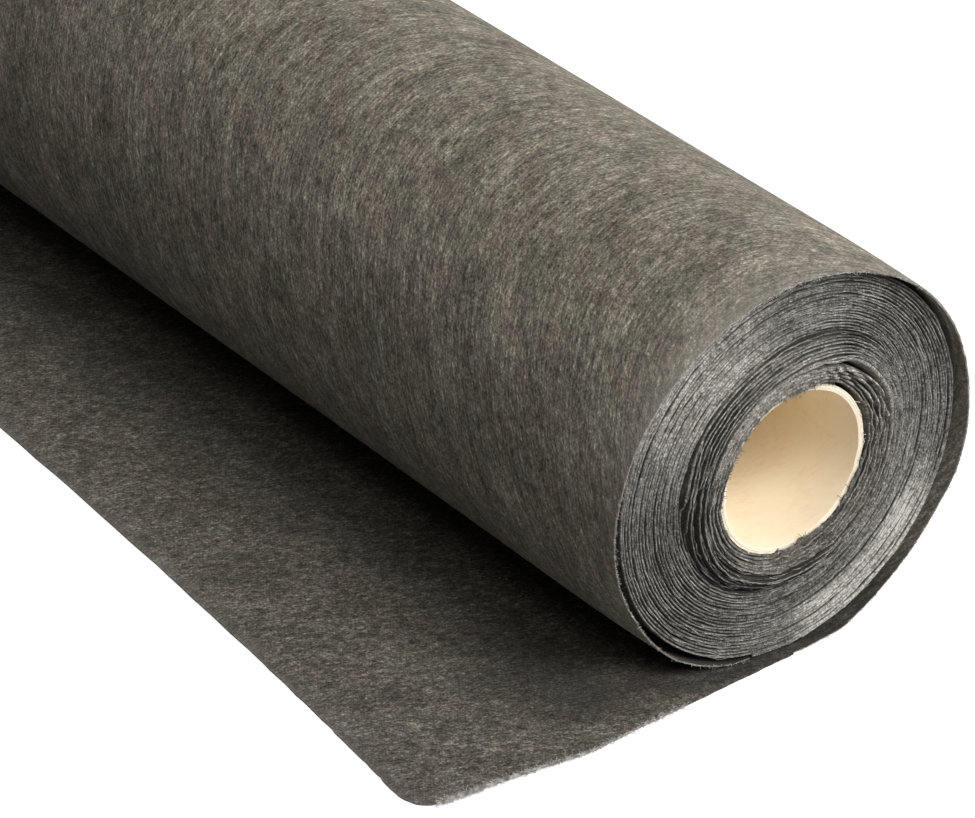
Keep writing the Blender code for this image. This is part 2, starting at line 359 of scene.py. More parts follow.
def wound_web():
    """All the turns on the tube as one unbroken strip with a worn, thinning edge at both ends."""
    loop = [(1, *stop) for stop in NEAR_LIP] + [(-1, *stop) for stop in FAR_LIP]
    web = flat_grid("wound_web_turns", WOUND_TURNS * WOUND_STEPS, len(loop))
    along, across = shares_of(web)
    table = np.array(loop + loop[:1])
    end, depth, side = table[np.rint(across * len(loop)).astype(int)].T

    turns = along * WOUND_TURNS
    angle = WEB_END + (WOUND_TURNS - turns) * TURN
    plain = wound_radius(turns)
    length = TURN * (FIRST_RADIUS * turns + (LAST_RADIUS - FIRST_RADIUS) * turns ** 2 / (2 * WOUND_TURNS))
    near_end = end > 0
    matted = smooth((34.4 * MM - plain) / (0.8 * MM)) * near_end
    spread = 0.12 + 0.88 * np.exp(-depth / 2.6) * near_end
    flare = np.where(plain > SPRUNG_RADIUS, spread, 1)
    # How far the edge leans out, or in over the tube's rim
    lean = waves(length, 17, (0.20 + 0.16 * matted, 9 * MM), (0.12 + 0.10 * matted, 3.5 * MM))
    lean = np.where(turns > WOUND_TURNS - 1, 0, lean) * MM * np.exp(-depth / 1.4) * near_end
    jagged = 1 + 0.24 * wave(length, 19, 1.2 * MM)
    over_rim = by_angle(RIM_LEAN, angle) * smooth(1 - (turns - 0.95) / 1.7) * jagged
    lean = lean - over_rim * smooth(1.35 - depth) * near_end
    outwards = (plain - FIRST_RADIUS) / (LAST_RADIUS - FIRST_RADIUS)
    settled = SETTLED * np.clip(np.cos(angle - SETTLED_WAY), -0.05, 1) * outwards
    settled = settled + TUBE_SETTLED * np.clip(np.cos(angle - TUBE_SETTLED_WAY), 0, 1) * (1 - outwards)
    radius = plain + bulge(plain, angle) * flare + settled + 0.03 * MM * wave(length, 3, 20 * MM)
    radius = radius + lean + side * WOUND_WALL / 2

    # How far each turn's two edges stand out of the ends of the roll
    ragged = waves(length, 11, (0.13, 2.1 * MM), (0.10, 0.9 * MM))
    ragged = ragged + matted * waves(length, 27, (0.22, 3.1 * MM), (0.2, 1.3 * MM))
    ragged_far = waves(length, 13, (0.13, 2.1 * MM), (0.10, 0.9 * MM))
    drift = 0.24 * wave(length, 15, 120 * MM) + 0.20 * wave(turns, 16, 1.0)
    groove = sum(np.exp(-((plain - middle) / (0.55 * MM)) ** 2) for middle in GROOVE_RADII)
    groove = groove * (0.3 + 0.7 * smooth(1 - np.abs(degrees_past(angle, -45)) / 80))
    back, held = held_back(angle)
    ridge, ridge_height = creases(plain, angle, length)
    out = pushed_out(plain, angle) + ridge * ridge_height * np.exp(-depth / 2)
    near = out + (drift * (1 - matted) + ragged - 0.7 * groove) * MM - back
    far = out + (drift + ragged_far + 0.4 * groove) * MM
    drawn = np.where(depth < 2, depth * (1 - 0.4 * matted), depth)
    x = np.where(near_end, NEAR_END + near - drawn * MM, FAR_END + far + depth * MM)
    places = round_the_tube(x, radius, angle)
    shape(web, places, length, x)

    # Painted shade on the surfaces below the cut edge: the patches, and the held back turns; painted light
    # under 0
    shaded = patches(SHADED_PATCHES, plain, angle) + 0.7 * held
    # Paler or darker cut edge: its fuzz, and painted light and shade on the patches and the creases' ridges;
    # the held back turns' lips are painted darker
    creased = ridge * ridge_height / (0.7 * MM)
    furred = patches(FUZZ_AND_SHADING_PATCHES, plain, angle)
    # The lip is drawn thinner where shade is painted, and wider where the edge is paler
    drawn_in = (1 + 2.2 * np.clip(shaded, 0, 1)) / (1 + 0.15 * np.clip(furred, 0, 2))
    mark(web, "from_edge", depth * drawn_in)
    mark(web, "furred", 1 + furred - 0.9 * held + 0.8 * creased)
    mark(web, "shaded", shaded)
    mark(web, "matted", matted)
    close_up(web, True)
    return web, float(length.max()), places[near_end & (depth == 0)]


# The loose turn

LOOSE_MIDDLE = 65.8 * MM     # its outer radius
LOOSE_SAG = 0.98 * MM        # how far it hangs off the axis
LOOSE_LEAN = math.radians(50)    # it is tightest here, and slackest on the other side
LOOSE_WALL = 0.7 * MM
LOOSE_STEPS = (300, 84)      # along the web and across it
CLING_DEPTH = 42 * MM        # it clings to the end face this far in
START_ANGLE = math.radians(-90) + math.atan2(8.2, 64.5)
# Its outer radius at the near end, in millimetres, by the angle in degrees
END_RADII = (
    (-90, 66.5), (0, 65.2), (28, 64.9), (45, 64.2), (60, 63.5), (75, 63.3), (115, 63.4), (130, 63.7),
    (143, 64.4), (155, 65.3), (170, 66.0), (185, 66.4), (200, 66.2), (208, 65.7), (215, 65.4), (223, 65.6),
    (235, 65.9), (245, 65.6), (255, 65.2), (263, 64.9), (270, 64.9),
)
# How far its near edge stands past the end face: angle in degrees, reach in millimetres
EDGE_REACH = (
    (-90, 3.2), (-83, 2.8), (-77, 2.4), (-73, 2.9), (-69, 4.0), (-65, 4.2), (-52, 3.5), (-41, 3.7),
    (-30, 4.1), (-22, 4.8), (-14, 5.9), (-6, 6.0), (10, 5.2), (30, 4.2), (50, 3.9), (68, 3.8), (85, 3.0),
    (102, 1.6), (122, 0.7), (142, 0.1), (200, 0.0), (270, 0.0),
)
# The fibres swing from side to side along the web
SWING = 15.0 * MM
SWING_PLACE = 136.7 * MM
SWING_SPAN = 33.6 * MM
# Where the inside of its near edge is shaded: angle in degrees, share
SHADED_INSIDE = ((-90, 0.9), (-50, 0.8), (-30, 0.35), (-10, 0), (168, 0), (192, 1), (270, 1))
# Notches in its near edge: angle and half width in degrees, depth in millimetres
NOTCHES = ((97.0, 1.5, 0.7), (138.0, 1.2, 0.8))


def loose_radius(angle, inset):
    """The loose turn's outer radius at an angle and at a distance in from the near end."""
    radius = LOOSE_MIDDLE - LOOSE_SAG * np.cos(angle - LOOSE_LEAN)
    at_end = np.interp(np.degrees(angle), *zip(*END_RADII)) * MM
    radius = radius + (at_end - radius) * np.clip(1 - inset / CLING_DEPTH, 0, 1) ** 2.4
    below = -np.sin(angle)
    ground = np.where(angle < math.pi, AXIS.z, AXIS.z - WEB_THICKNESS - CLEARANCE)
    return np.where(below > 0.2, np.minimum(radius, ground / np.maximum(below, 0.2)), radius)


def uneven_steps(first, last, count, ratio):
    """Places from first to last whose steps grow by a ratio from both ends to the middle."""
    steps = ratio ** np.minimum(np.arange(count), count - 1 - np.arange(count))
    return first + (last - first) * np.concatenate([[0], np.cumsum(steps)]) / steps.sum()


def shaded_inside(turn):
    """1 on the inside of the loose turn by its near edge, where it is shaded, and 0 elsewhere."""
    x, y, z = points_of(turn.data).T
    y, z = y - AXIS.y, z - AXIS.z
    angle = (np.arctan2(z, y) - START_ANGLE) % TURN + START_ANGLE
    inset = np.maximum(NEAR_END - x, 0)
    below = loose_radius(angle, inset) - np.hypot(y, z)
    inner = smooth((below - 0.3 * LOOSE_WALL) / (0.4 * LOOSE_WALL)) * (inset < 30 * MM)
    return inner * np.interp(np.degrees(angle), *zip(*SHADED_INSIDE))


def loose_turn():
    """The outer turn, which has sprung loose: from the ground up the +Y side, over the top and down again."""
    steps, columns = LOOSE_STEPS
    turn = flat_grid("loose_turn_web", steps, columns)
    along, across = shares_of(turn)
    angle = START_ANGLE + (WEB_END - START_ANGLE) * along
    degrees = np.degrees(angle)
    inset = uneven_steps(0, WEB_WIDTH, columns, 1.16)[np.rint(across * columns).astype(int)]
    reach = np.interp(degrees, *zip(*EDGE_REACH)) * MM
    arc = angle * LOOSE_MIDDLE
    ragged = waves(arc, 21, (0.14, 2.6 * MM), (0.06, 1.2 * MM)) * MM
    ragged_far = waves(arc, 23, (0.14, 2.6 * MM), (0.06, 1.2 * MM)) * MM
    for middle, half, depth in NOTCHES:
        ragged = ragged - depth * MM * np.clip(1 - np.abs(degrees - middle) / half, 0, 1)
    near_share = np.exp(-inset / (1.5 * MM))
    far_share = np.exp(-(WEB_WIDTH - inset) / (1.5 * MM))
    x = NEAR_END + reach - inset + ragged * near_share - ragged_far * far_share
    radius = loose_radius(angle, np.maximum(inset, 0))
    swell = 0.22 * wave(x * 0.8 + arc * 0.3, 25, 90 * MM) + 0.16 * wave(arc + x * 0.2, 26, 60 * MM)
    free = smooth((AXIS.z - radius * -np.sin(angle)) / (3 * MM)) * smooth(inset / (30 * MM))
    radius = radius + swell * MM * free - LOOSE_WALL / 2
    places = round_the_tube(x, radius, angle)
    shape(turn, places, arc, x + SWING * np.cos((arc - SWING_PLACE) / SWING_SPAN))
    # Its near edge is paler: partly its fuzz, and painted light, most on the upper left where its shoulder
    # turns to the light
    upper_left = smooth(1 - np.abs(degrees - 128) / 60)
    mark(turn, "furred", 1 + (0.25 + 0.55 * upper_left) * np.exp(-inset / (9 * MM)))
    thicken(turn, LOOSE_WALL, 0.26 * MM)
    mark(turn, "shaded", shaded_inside(turn))
    length = LOOSE_MIDDLE * (WEB_END - START_ANGLE)
    return turn, length, places[inset == 0]


# The free end on the ground

FREE_LENGTH = 110 * MM       # from the line under the axis to its far corner
SKEW_LENGTH = 31 * MM
SKEW_FADE = 230 * MM
CORNER_RADIUS = 10 * MM
UNDER_ROLL = 8 * MM
SHEET_STEPS = (90, 220)      # along the web and across it
SWELL_FROM = 50 * MM         # it lies flat as far as this from the axis
FIBRES_FROM = 34 * MM        # and its side edge shows its fibres past this
# How far its near side edge stands past the end face, by the distance from the axis, in millimetres
SIDE_EDGE = ((-145, 11.8), (-123, 12.6), (-109, 12.6), (-97, 13.0), (-79, 13.6), (-67, 12.3), (-54, 10.4),
             (-41, 9.0), (-33, 8.2), (-24, 7.1), (-15, 5.9), (-7, 5.0), (2, 3.9), (8, 3.2))


def thin_border(sheet):
    """Presses the sheet thinner towards its cut edges."""
    places = points_of(sheet.data)
    border = np.zeros(len(places))
    sheet.data.attributes["from_border"].data.foreach_get("value", border)
    places[:, 2] *= 0.4 + 0.6 * smooth(border / (2.5 * MM))
    sheet.data.vertices.foreach_set("co", places.ravel())
    sheet.data.update()


def laid_end():
    """The free end: a flat grid drawn out to its slanted leading edge, with a soft, rounded corner."""
    rows, columns = SHEET_STEPS
    sheet = flat_grid("laid_end_web", rows, columns)
    along, across = shares_of(sheet)
    row = np.rint(along * rows).astype(int)
    inset = uneven_steps(0, WEB_WIDTH, columns, 1.05)[np.rint(across * columns).astype(int)]
    out = uneven_steps(0, 1, rows, 1.06)[row]
    front = -FREE_LENGTH - SKEW_LENGTH * np.exp(-inset / SKEW_FADE)
    for corner in (inset, WEB_WIDTH - inset):
        into = np.clip(1 - corner / CORNER_RADIUS, 0, 1)
        front = front + CORNER_RADIUS * (1 - np.sqrt(1 - into ** 2)) * 0.9
    front = front + waves(inset, 31, (0.20, 2.4 * MM), (0.08, 0.9 * MM)) * MM
    y = UNDER_ROLL + (front - UNDER_ROLL) * out
    ragged = waves(y, 33, (0.18, 2.6 * MM), (0.08, 1.1 * MM)) * MM
    side = np.interp(y / MM, *zip(*SIDE_EDGE)) * MM
    near = np.exp(-inset / (40 * MM))
    x = NEAR_END + side * near + SIDE_REACH * (1 - near) - inset + ragged * np.exp(-inset / (2 * MM))
    swell = 0.25 * wave(x * 0.7 + y, 36, 45 * MM) + 0.2 * wave(x - y * 0.6, 37, 80 * MM)
    z = WEB_THICKNESS / 2 + np.abs(swell) * MM * smooth((-y - SWELL_FROM) / (50 * MM))
    places = np.stack([x, AXIS.y + y, z], axis=1)
    shape(sheet, places, y, x)
    from_lead = (UNDER_ROLL - front) * (1 - out)
    # Its cut edges are paler: their fuzz, and painted light on the leading edge, whose cut side lies in shade
    mark(sheet, "furred", 1 + 0.5 * np.exp(-inset / (1.6 * MM)) + 0.9 * np.exp(-from_lead / (2.5 * MM)))
    mark(sheet, "from_border", np.minimum(from_lead, inset + 0.6 * MM))
    # The shade that the roll throws, where it isn't deep under the roll and dark by itself
    past_end = x - NEAR_END
    in_front = smooth((-y - 36 * MM) / (20 * MM))
    at_end = smooth((past_end + 16 * MM) / (8 * MM))
    by_roll = smooth((y + 101 * MM) / (40 * MM)) * np.maximum(in_front, at_end)
    by_end = 0.30 + 0.40 * smooth((past_end + 62 * MM) / (30 * MM))
    reach = 8 * MM + 7 * MM * smooth((y + 50 * MM) / (30 * MM))
    mark(sheet, "shaded", by_roll * by_end * smooth((reach - past_end) / (14 * MM)))
    thicken(sheet, WEB_THICKNESS, 0.28 * MM)
    thin_border(sheet)
    skewed = SKEW_LENGTH * SKEW_FADE * (1 - math.exp(-WEB_WIDTH / SKEW_FADE))
    area = (FREE_LENGTH + UNDER_ROLL) * WEB_WIDTH + skewed
    return sheet, area, places[((inset == 0) & (y < -FIBRES_FROM)) | (out == 1)]


# Loose fibres

def fibres(name, paths, thickness):
    """Fine fibres along the given paths, each a thin round curve turned into a mesh."""
    lines = bpy.data.curves.new(name, "CURVE")
    lines.dimensions = "3D"
    lines.bevel_depth = thickness / 2
    lines.bevel_resolution = 0    # a square section
    lines.use_fill_caps = True
    for path in paths:
        line = lines.splines.new("POLY")
        line.points.add(len(path) - 1)
        line.points.foreach_set("co", np.column_stack([path, np.ones(len(path))]).ravel())
    holder = bpy.data.objects.new(name, lines)
    bpy.context.scene.collection.objects.link(holder)
    pick(holder)
    bpy.ops.object.convert(target="MESH")
    return bpy.context.active_object


def face_fibre_paths(rim, count):
    """Fibres that lie along the turns' edges and cross from one to the next."""
    draw = np.random.default_rng(71)
    paths = []
    for start in draw.integers(200, len(rim) - 8, count):
        span = int(draw.integers(1, 3))
        stops = np.array([start, start + span, start + 2 * span])
        path = rim[stops].copy()
        outward = path - np.array([0, AXIS.y, AXIS.z])
        outward[:, 0] = 0
        outward /= np.linalg.norm(outward, axis=1)[:, None]
        cross = draw.normal(0, 0.28, 3) * MM
        path += outward * cross[:, None]
        path[:, 0] += draw.uniform(-0.05, 0.28, 3) * MM
        paths.append(path)
    return paths


# Where the first turn's edge is tufted, in degrees
TUFTED = ((276, 357), (70, 215))


def rim_fibre_paths(rim, count):
    """Dark tufts of the first turn's edge, which hang in over the tube's rim."""
    draw = np.random.default_rng(74)
    degrees = (np.degrees(np.arctan2(rim[:, 2] - AXIS.z, rim[:, 1] - AXIS.y)) + 360) % 360
    first = np.arange(len(rim) - 1) < WOUND_STEPS
    tufted = np.any([(degrees[:-1] > low) & (degrees[:-1] < high) for low, high in TUFTED], axis=0)
    paths = []
    for start in draw.choice(np.flatnonzero(first & tufted), count):
        root = rim[start] + (rim[start + 1] - rim[start]) * draw.uniform(0, 1)
        inward = np.array([0, AXIS.y, AXIS.z]) - root
        inward[0] = 0
        inward /= np.linalg.norm(inward)
        reach = draw.uniform(0.25, 0.95) * MM
        way = inward * draw.uniform(0.4, 1) + draw.normal(0, 0.4, 3)
        root = root - inward * 0.4 * MM - np.array([0.15 * MM, 0, 0])
        tip = root + (way + draw.normal(0, 0.3, 3)) * reach * 1.2
        paths.append(np.array([root, root + way * reach * 0.6, tip]))
    return paths


def edge_fibre_paths(rim, count, seed, out, spread):
    """Short fibres that stand out of a cut edge, each way and a little along it."""
    draw = np.random.default_rng(seed)
    out = np.array(out, float)
    paths = []
    for start in draw.integers(1, len(rim) - 2, count):
        root = rim[start] + (rim[start + 1] - rim[start]) * draw.uniform(0, 1)
        run = rim[start + 1] - rim[start - 1]
        run = run / max(np.linalg.norm(run), 1e-9) * draw.normal(0, 1)
        reach = draw.uniform(0.25, 1.0) * spread
        way = out * draw.uniform(0.2, 1.0) + run * 0.8 + draw.normal(0, 0.35, 3)
        bend = draw.normal(0, 0.25, 3)
        path = np.array([root, root + way * reach * 0.5, root + (way + bend) * reach])
        path[:, 2] = np.maximum(path[:, 2], 0.1 * MM)
        paths.append(path)
    return paths


# The tube

TUBE_BORE = 25.0 * MM        # radii
TUBE_OUTER = 27.0 * MM
TUBE_STEPS = 192
# Each half of the tube's wall, from outside over the cut end and in: depth in millimetres, share of the wall
TUBE_LIP = ((0.5, 1.0), (0.12, 0.97), (0.0, 0.82), (0.14, 0.67), (-0.06, 0.50), (0.10, 0.33), (0.02, 0.16),
            (0.14, 0.03), (0.6, 0.0), (4, 0.0), (12, 0.0), (30, 0.0), (80, 0.0), (200, 0.0))


def core_tube():
    """The cardboard tube, its cut ends slightly fuzzy and out of true."""
    loop = [(1, *stop) for stop in TUBE_LIP] + [(-1, *stop) for stop in reversed(TUBE_LIP)]
    tube = flat_grid("core_tube_board", TUBE_STEPS, len(loop))
    along, across = shares_of(tube)
    table = np.array(loop + loop[:1])
    end, depth, side = table[np.rint(across * len(loop)).astype(int)].T
    angle = (along % 1) * TURN
    ragged = waves(angle, 41, (0.10, 0.11), (0.09, 0.04)) * MM
    ragged = np.where(angle > TURN * 0.99, ragged * (TURN - angle) / (TURN * 0.01), ragged)
    x = AXIS.x + end * ((TUBE_HIGH.x - TUBE_LOW.x) / 2 - depth * MM + ragged * (depth < 1))
    radius = TUBE_BORE + (TUBE_OUTER - TUBE_BORE) * side + 0.35 * MM * np.exp(-depth / 3) * (end > 0)
    places = round_the_tube(x, radius, angle)
    places[:, 1] += TUBE_SETTLED * math.cos(TUBE_SETTLED_WAY)
    places[:, 2] += TUBE_SETTLED * math.sin(TUBE_SETTLED_WAY)
    shape(tube, places, angle * TUBE_BORE, x)
    mark(tube, "ply", side * 3)
    close_up(tube, False)
    return tube, places[(end > 0) & (depth == 0)]


# Materials

class Value:
    """A socket of a material's node, on which arithmetic adds Math nodes."""

    def __init__(self, finish, socket):
        self.finish = finish
        self.socket = socket

    def maths(self, operation, *others):
        return self.finish.node("Math", {"operation": operation}, dict(enumerate((self, *others))))

    def __add__(self, other):
        return self.maths("ADD", other)

    def __sub__(self, other):
        return self.maths("SUBTRACT", other)

    def __rsub__(self, other):
        return self.finish.node("Math", {"operation": "SUBTRACT"}, {0: other, 1: self})

    def __mul__(self, other):
        return self.maths("MULTIPLY", other)

    __radd__ = __add__
    __rmul__ = __mul__

    def size(self):
        return self.maths("ABSOLUTE")

    def most(self, other):
        return self.maths("MAXIMUM", other)

    def ramp(self, low, high):
        """A smooth rise from 0 at low to 1 at high."""
        places = {"Value": self, "From Min": low, "From Max": high}
        return self.finish.node("MapRange", {"interpolation_type": "SMOOTHSTEP"}, places)


class Finish:
    """A material with one Principled shader, built node by node."""

    def __init__(self, name):
        self.material = bpy.data.materials.new(name)
        self.material.use_nodes = True
        self.tree = self.material.node_tree
        self.shader = self.tree.nodes["Principled BSDF"]

    def plug(self, socket, value):
        if isinstance(value, Value):
            self.tree.links.new(value.socket, socket)
        else:
            socket.default_value = value

    def node(self, kind, settings, inputs, output=0):
        """A node of a kind, its settings made first and then its sockets set or linked."""
        made = self.tree.nodes.new("ShaderNode" + kind)
        for name, value in settings.items():
            if name == "stops":
                stops = made.color_ramp.elements
                while len(stops) < len(value):
                    stops.new(0.5)
                for stop, (place, colour) in zip(stops, value):
                    stop.position = place
                    stop.color = (*colour, 1)
            else:
                setattr(made, name, value)
        for name, value in inputs.items():
            self.plug(made.inputs[name], value)
        return Value(self, made.outputs[output])

    def cloth_place(self):
        """The place along and across the web or the board, in metres."""
        return self.node("UVMap", {"uv_map": "cloth"}, {})

    def marked(self, name):
        """The number that mark() keeps at each point under this name."""
        return self.node("Attribute", {"attribute_name": name}, {}, "Fac")

    def object_place(self):
        return self.node("TexCoord", {}, {}, "Object")

    def object_normal_x(self):
        normal = self.node("TexCoord", {}, {}, "Normal")
        return self.node("SeparateXYZ", {}, {"Vector": normal}, "X").size()

    def turned(self, place, angle, scale, shift):
        """place, turned and measured in units of scale."""
        settings = {"vector_type": "TEXTURE"}
        return self.node("Mapping", settings, {
            "Vector": place, "Location": (shift, shift * 0.37, 0), "Rotation": (0, 0, angle), "Scale": scale,
        })

    def noise(self, place, size, detail=2.0, roughness=0.5, dimensions="3D"):
        """Noise whose lumps have about this size, from about -0.4 to 0.4."""
        settings = {"noise_dimensions": dimensions}
        return self.node("TexNoise", settings, {
            "Vector": place, "Scale": 1 / size, "Detail": detail, "Roughness": roughness,
        }) - 0.5

    def streaks(self, place, angle, length, width, shift, detail=2.0):
        """Noise drawn out along an angle in degrees, from about -0.4 to 0.4."""
        stretched = self.turned(place, math.radians(angle), (length, width, 1), shift)
        return self.noise(stretched, 1.0, detail, 0.6, "2D")

    def stepped(self, stops, tone):
        """The colour that the stops give for a tone from 0 to 1."""
        return self.node("ValToRGB", {"stops": stops}, {"Fac": tone})

    def mix(self, share, first, second, blend="MIX"):
        settings = {"data_type": "RGBA", "blend_type": blend}
        return self.node("Mix", settings, {0: share, 6: first, 7: second}, 2)

    def bump(self, height, strength, distance):
        return self.node("Bump", {}, {"Height": height, "Strength": strength, "Distance": distance})

    def set(self, **inputs):
        """Sets or links the shader's sockets, named with _ for each space, and gives the material."""
        for name, value in inputs.items():
            self.plug(self.shader.inputs[name.replace("_", " ")], value)
        return self.material


# Each layer of fibres: angle in degrees, length and spacing in millimetres, weight
FIBRE_LAYERS = (
    (15, 5.6, 0.72, 0.88), (-19, 3.8, 0.66, 0.80), (46, 3.8, 0.66, 0.74), (84, 3.2, 0.62, 0.66),
    (-56, 3.2, 0.62, 0.66),
)
# The side that lies up on the ground shows them more strongly
UPPER_LAYERS = tuple((*layer[:3], layer[3] * 1.45) for layer in FIBRE_LAYERS)
# The web's longest fibres lie along it and show on its outside
LONG_LAYERS = ((5, 48.0, 0.85, 0.62), (-4, 30.0, 0.70, 0.46))


def fibre_mat(finish, place, layers):
    """A mat of fibres in the given layers, from about -1 to 1."""
    mat = 0.0
    for index, (angle, length, width, weight) in enumerate(layers):
        layer = finish.streaks(place, angle, length * MM, width * MM, 0.71 * index + 0.13)
        mat = layer * weight + mat
    return mat


# The web's colour from its darkest gaps to its palest fibres: on its sides, on its cut edge, and where the
# first turns' edges are matted by the tube
WEB_STOPS = ((0.0, (0.051, 0.0458, 0.0354)), (0.42, (0.192, 0.174, 0.139)), (0.75, (0.397, 0.361, 0.296)),
             (1.0, (0.75, 0.70, 0.60)))
CUT_STOPS = ((0.0, (0.056, 0.053, 0.046)), (0.42, (0.222, 0.212, 0.190)), (0.75, (0.45, 0.436, 0.40)),
             (1.0, (0.80, 0.78, 0.73)))
MATTED_STOPS = ((0.0, (0.053, 0.048, 0.041)), (0.42, (0.172, 0.157, 0.135)), (0.75, (0.35, 0.322, 0.283)),
                (1.0, (0.72, 0.69, 0.63)))
WARM_TINT = (1.038, 0.984, 0.974, 1)
COOL_TINT = (0.972, 1.006, 0.977, 1)
# The pale colour that fuzz and painted light turn the web to, and the dark of painted shade
FUZZ_AND_LIGHT_COLOUR = (0.48, 0.45, 0.40)
SHADED_COLOUR = (0.008, 0.008, 0.007, 1)
# The web on the ground is the same cloth as the roll's outside, made darker: painted shade
GROUND_SHADE_SHARE = 0.48
GAPS_SHADE_SHARE = 0.29            # and so are the gaps between the turns: painted shade


def web_finish(name, share, layers):
    """Charcoal non-woven, warm dark grey with fine pale fibres; share darkens it, as painted shade."""
    finish = Finish(name)
    place = finish.cloth_place()
    mat = fibre_mat(finish, place, layers)
    wide = finish.streaks(place, 17, 26 * MM, 15 * MM, 4.1, 3.0)
    clouds = finish.streaks(place, 35, 8 * MM, 4.5 * MM, 7.7)
    tone = mat * 0.83 + wide * 0.45 + clouds * 0.42 + 0.42
    stops = [(at, tuple(part * share for part in colour)) for at, colour in WEB_STOPS]
    colour = finish.stepped(stops, tone)
    cool = finish.streaks(place, 50, 24 * MM, 9 * MM, 2.2).ramp(-0.2, 0.2)
    tint = finish.mix(cool, WARM_TINT, COOL_TINT)
    return finish, finish.mix(1.0, colour, tint, "MULTIPLY"), mat


def soft_cloth(finish, colour, normal):
    """The web's dull, faintly fuzzy surface in this colour."""
    finish.set(Diffuse_Roughness=1.0, Sheen_Weight=0.08, Specular_IOR_Level=0.2)
    return finish.set(Base_Color=colour, Roughness=0.9, Normal=normal)


def broad_web(name, share, layers):
    """The web's broad side, as on the roll's round and on the ground."""
    finish, colour, mat = web_finish(name, share, layers)
    # Paler where marked, by its fuzz and painted light; then painted shade where marked shaded
    fuzz_and_shading_share = (finish.marked("furred") - 1.0) * 0.5
    colour = finish.mix(fuzz_and_shading_share, colour, (*(part * share for part in FUZZ_AND_LIGHT_COLOUR), 1))
    colour = finish.mix(finish.marked("shaded") * 0.95, colour, SHADED_COLOUR)
    finish.set(Sheen_Roughness=0.5, Sheen_Tint=(0.96, 0.92, 0.86, 1))
    return soft_cloth(finish, colour, finish.bump(mat, 0.5, 0.5 * MM))


def edge_web():
    """The wound turns: charcoal, with a paler, specked lip where each was cut, and painted shade below it."""
    finish, colour, _ = web_finish("charcoal_web_edge", GAPS_SHADE_SHARE, FIBRE_LAYERS)
    where = finish.object_place()
    specks = finish.noise(where, 0.75 * MM, roughness=0.7)
    clumps = finish.noise(where, 2.6 * MM, roughness=0.6)
    wide = finish.noise(where, 16 * MM)
    furred, matted = finish.marked("furred"), finish.marked("matted")
    # The lip's tone takes its fuzz, and the painted light and shade marked on it
    cut = finish.stepped(CUT_STOPS, specks * 2.0 + clumps * 0.9 + wide * 0.5 + furred * 0.38)
    # Below the cut edge: the web's colour, painted darker as shade, more where marked shaded, paler under 0
    level = 1.0 - finish.marked("shaded") * 0.72
    grey = finish.node("CombineColor", {}, {"Red": level, "Green": level, "Blue": level}, "Color")
    below = finish.mix(1.0, colour, grey, "MULTIPLY")
    both = finish.mix(finish.marked("from_edge").ramp(0.08, 0.7), cut, below)
    felted = finish.stepped(MATTED_STOPS, specks * 2.0 + clumps * 1.2 + wide * 0.4 + furred * 0.40)
    both = finish.mix(matted * 0.6, both, felted)
    return soft_cloth(finish, both, finish.bump(specks + clumps * matted, 0.8, 0.4 * MM))


def loose_fibre(name, dark, pale):
    """Single fibres at the cut edges, between a dark and a pale colour."""
    finish = Finish(name)
    hue = finish.noise(finish.object_place(), 1.5 * MM, 1.0)
    colour = finish.mix(hue.ramp(-0.2, 0.2), (*dark, 1), (*pale, 1))
    return finish.set(Base_Color=colour, Roughness=0.8)


BOARD_STOPS = ((0.0, (0.86, 0.66, 0.43)), (0.5, (0.97, 0.83, 0.61)), (1.0, (0.98, 0.89, 0.71)))


def cardboard():
    """Pale kraft board: fine fibres, broad blotches, and a whiter cut rim that shows its plies."""
    finish = Finish("kraft_board")
    place = finish.cloth_place()
    pulp = finish.streaks(place, 30, 3.0 * MM, 0.9 * MM, 1.3, 3.0)
    blotch = finish.streaks(place, 12, 20 * MM, 12 * MM, 5.3)
    colour = finish.stepped(BOARD_STOPS, pulp * 0.55 + blotch * 0.6 + 0.5)
    rim = finish.object_normal_x().ramp(0.35, 0.8)
    ply = finish.marked("ply").maths("PINGPONG", 0.5)
    cut = finish.mix(ply.ramp(0.02, 0.16), (0.84, 0.70, 0.52, 1), (0.95, 0.85, 0.69, 1))
    normal = finish.bump(pulp, 0.3, 0.2 * MM)
    finish.set(Specular_IOR_Level=0.3)
    return finish.set(Base_Color=finish.mix(rim, colour, cut), Roughness=0.82, Normal=normal)


def tape_finish():
    """Dull, yellowish tape."""
    finish = Finish("sticky_tape")
    grain = finish.noise(finish.object_place(), 2 * MM) + 0.5
    colour = finish.mix(grain, (0.60, 0.55, 0.38, 1), (0.72, 0.67, 0.50, 1))
    return finish.set(Base_Color=colour, Roughness=0.45)


# Surroundings

FLOOR_SIZE = 8
FLOOR_GREY = (0.42, 0.42, 0.42, 1)
WHITE = (1, 1, 1, 1)


def white_ground():
    """A floor that shows white itself, keeps a faint shadow and throws little light back."""
    deselect()
    bpy.ops.mesh.primitive_plane_add(size=FLOOR_SIZE, location=(0, 0, -0.1 * MM))
    floor = bpy.context.active_object
    floor.name = "floor"
    finish = Finish("white_floor")
    finish.tree.nodes.remove(finish.shader)
    ray = finish.node("LightPath", {}, {}, "Is Camera Ray")
    glossy = finish.node("LightPath", {}, {}, "Is Glossy Ray")
    diffuse = finish.node("BsdfDiffuse", {}, {"Color": FLOOR_GREY})
    glow = finish.node("Emission", {}, {"Color": WHITE, "Strength": ray.most(glossy) * 0.8})
    both = finish.node("AddShader", {}, {0: diffuse, 1: glow})
    finish.plug(finish.tree.nodes["Material Output"].inputs["Surface"], both)
    floor.data.materials.append(finish.material)


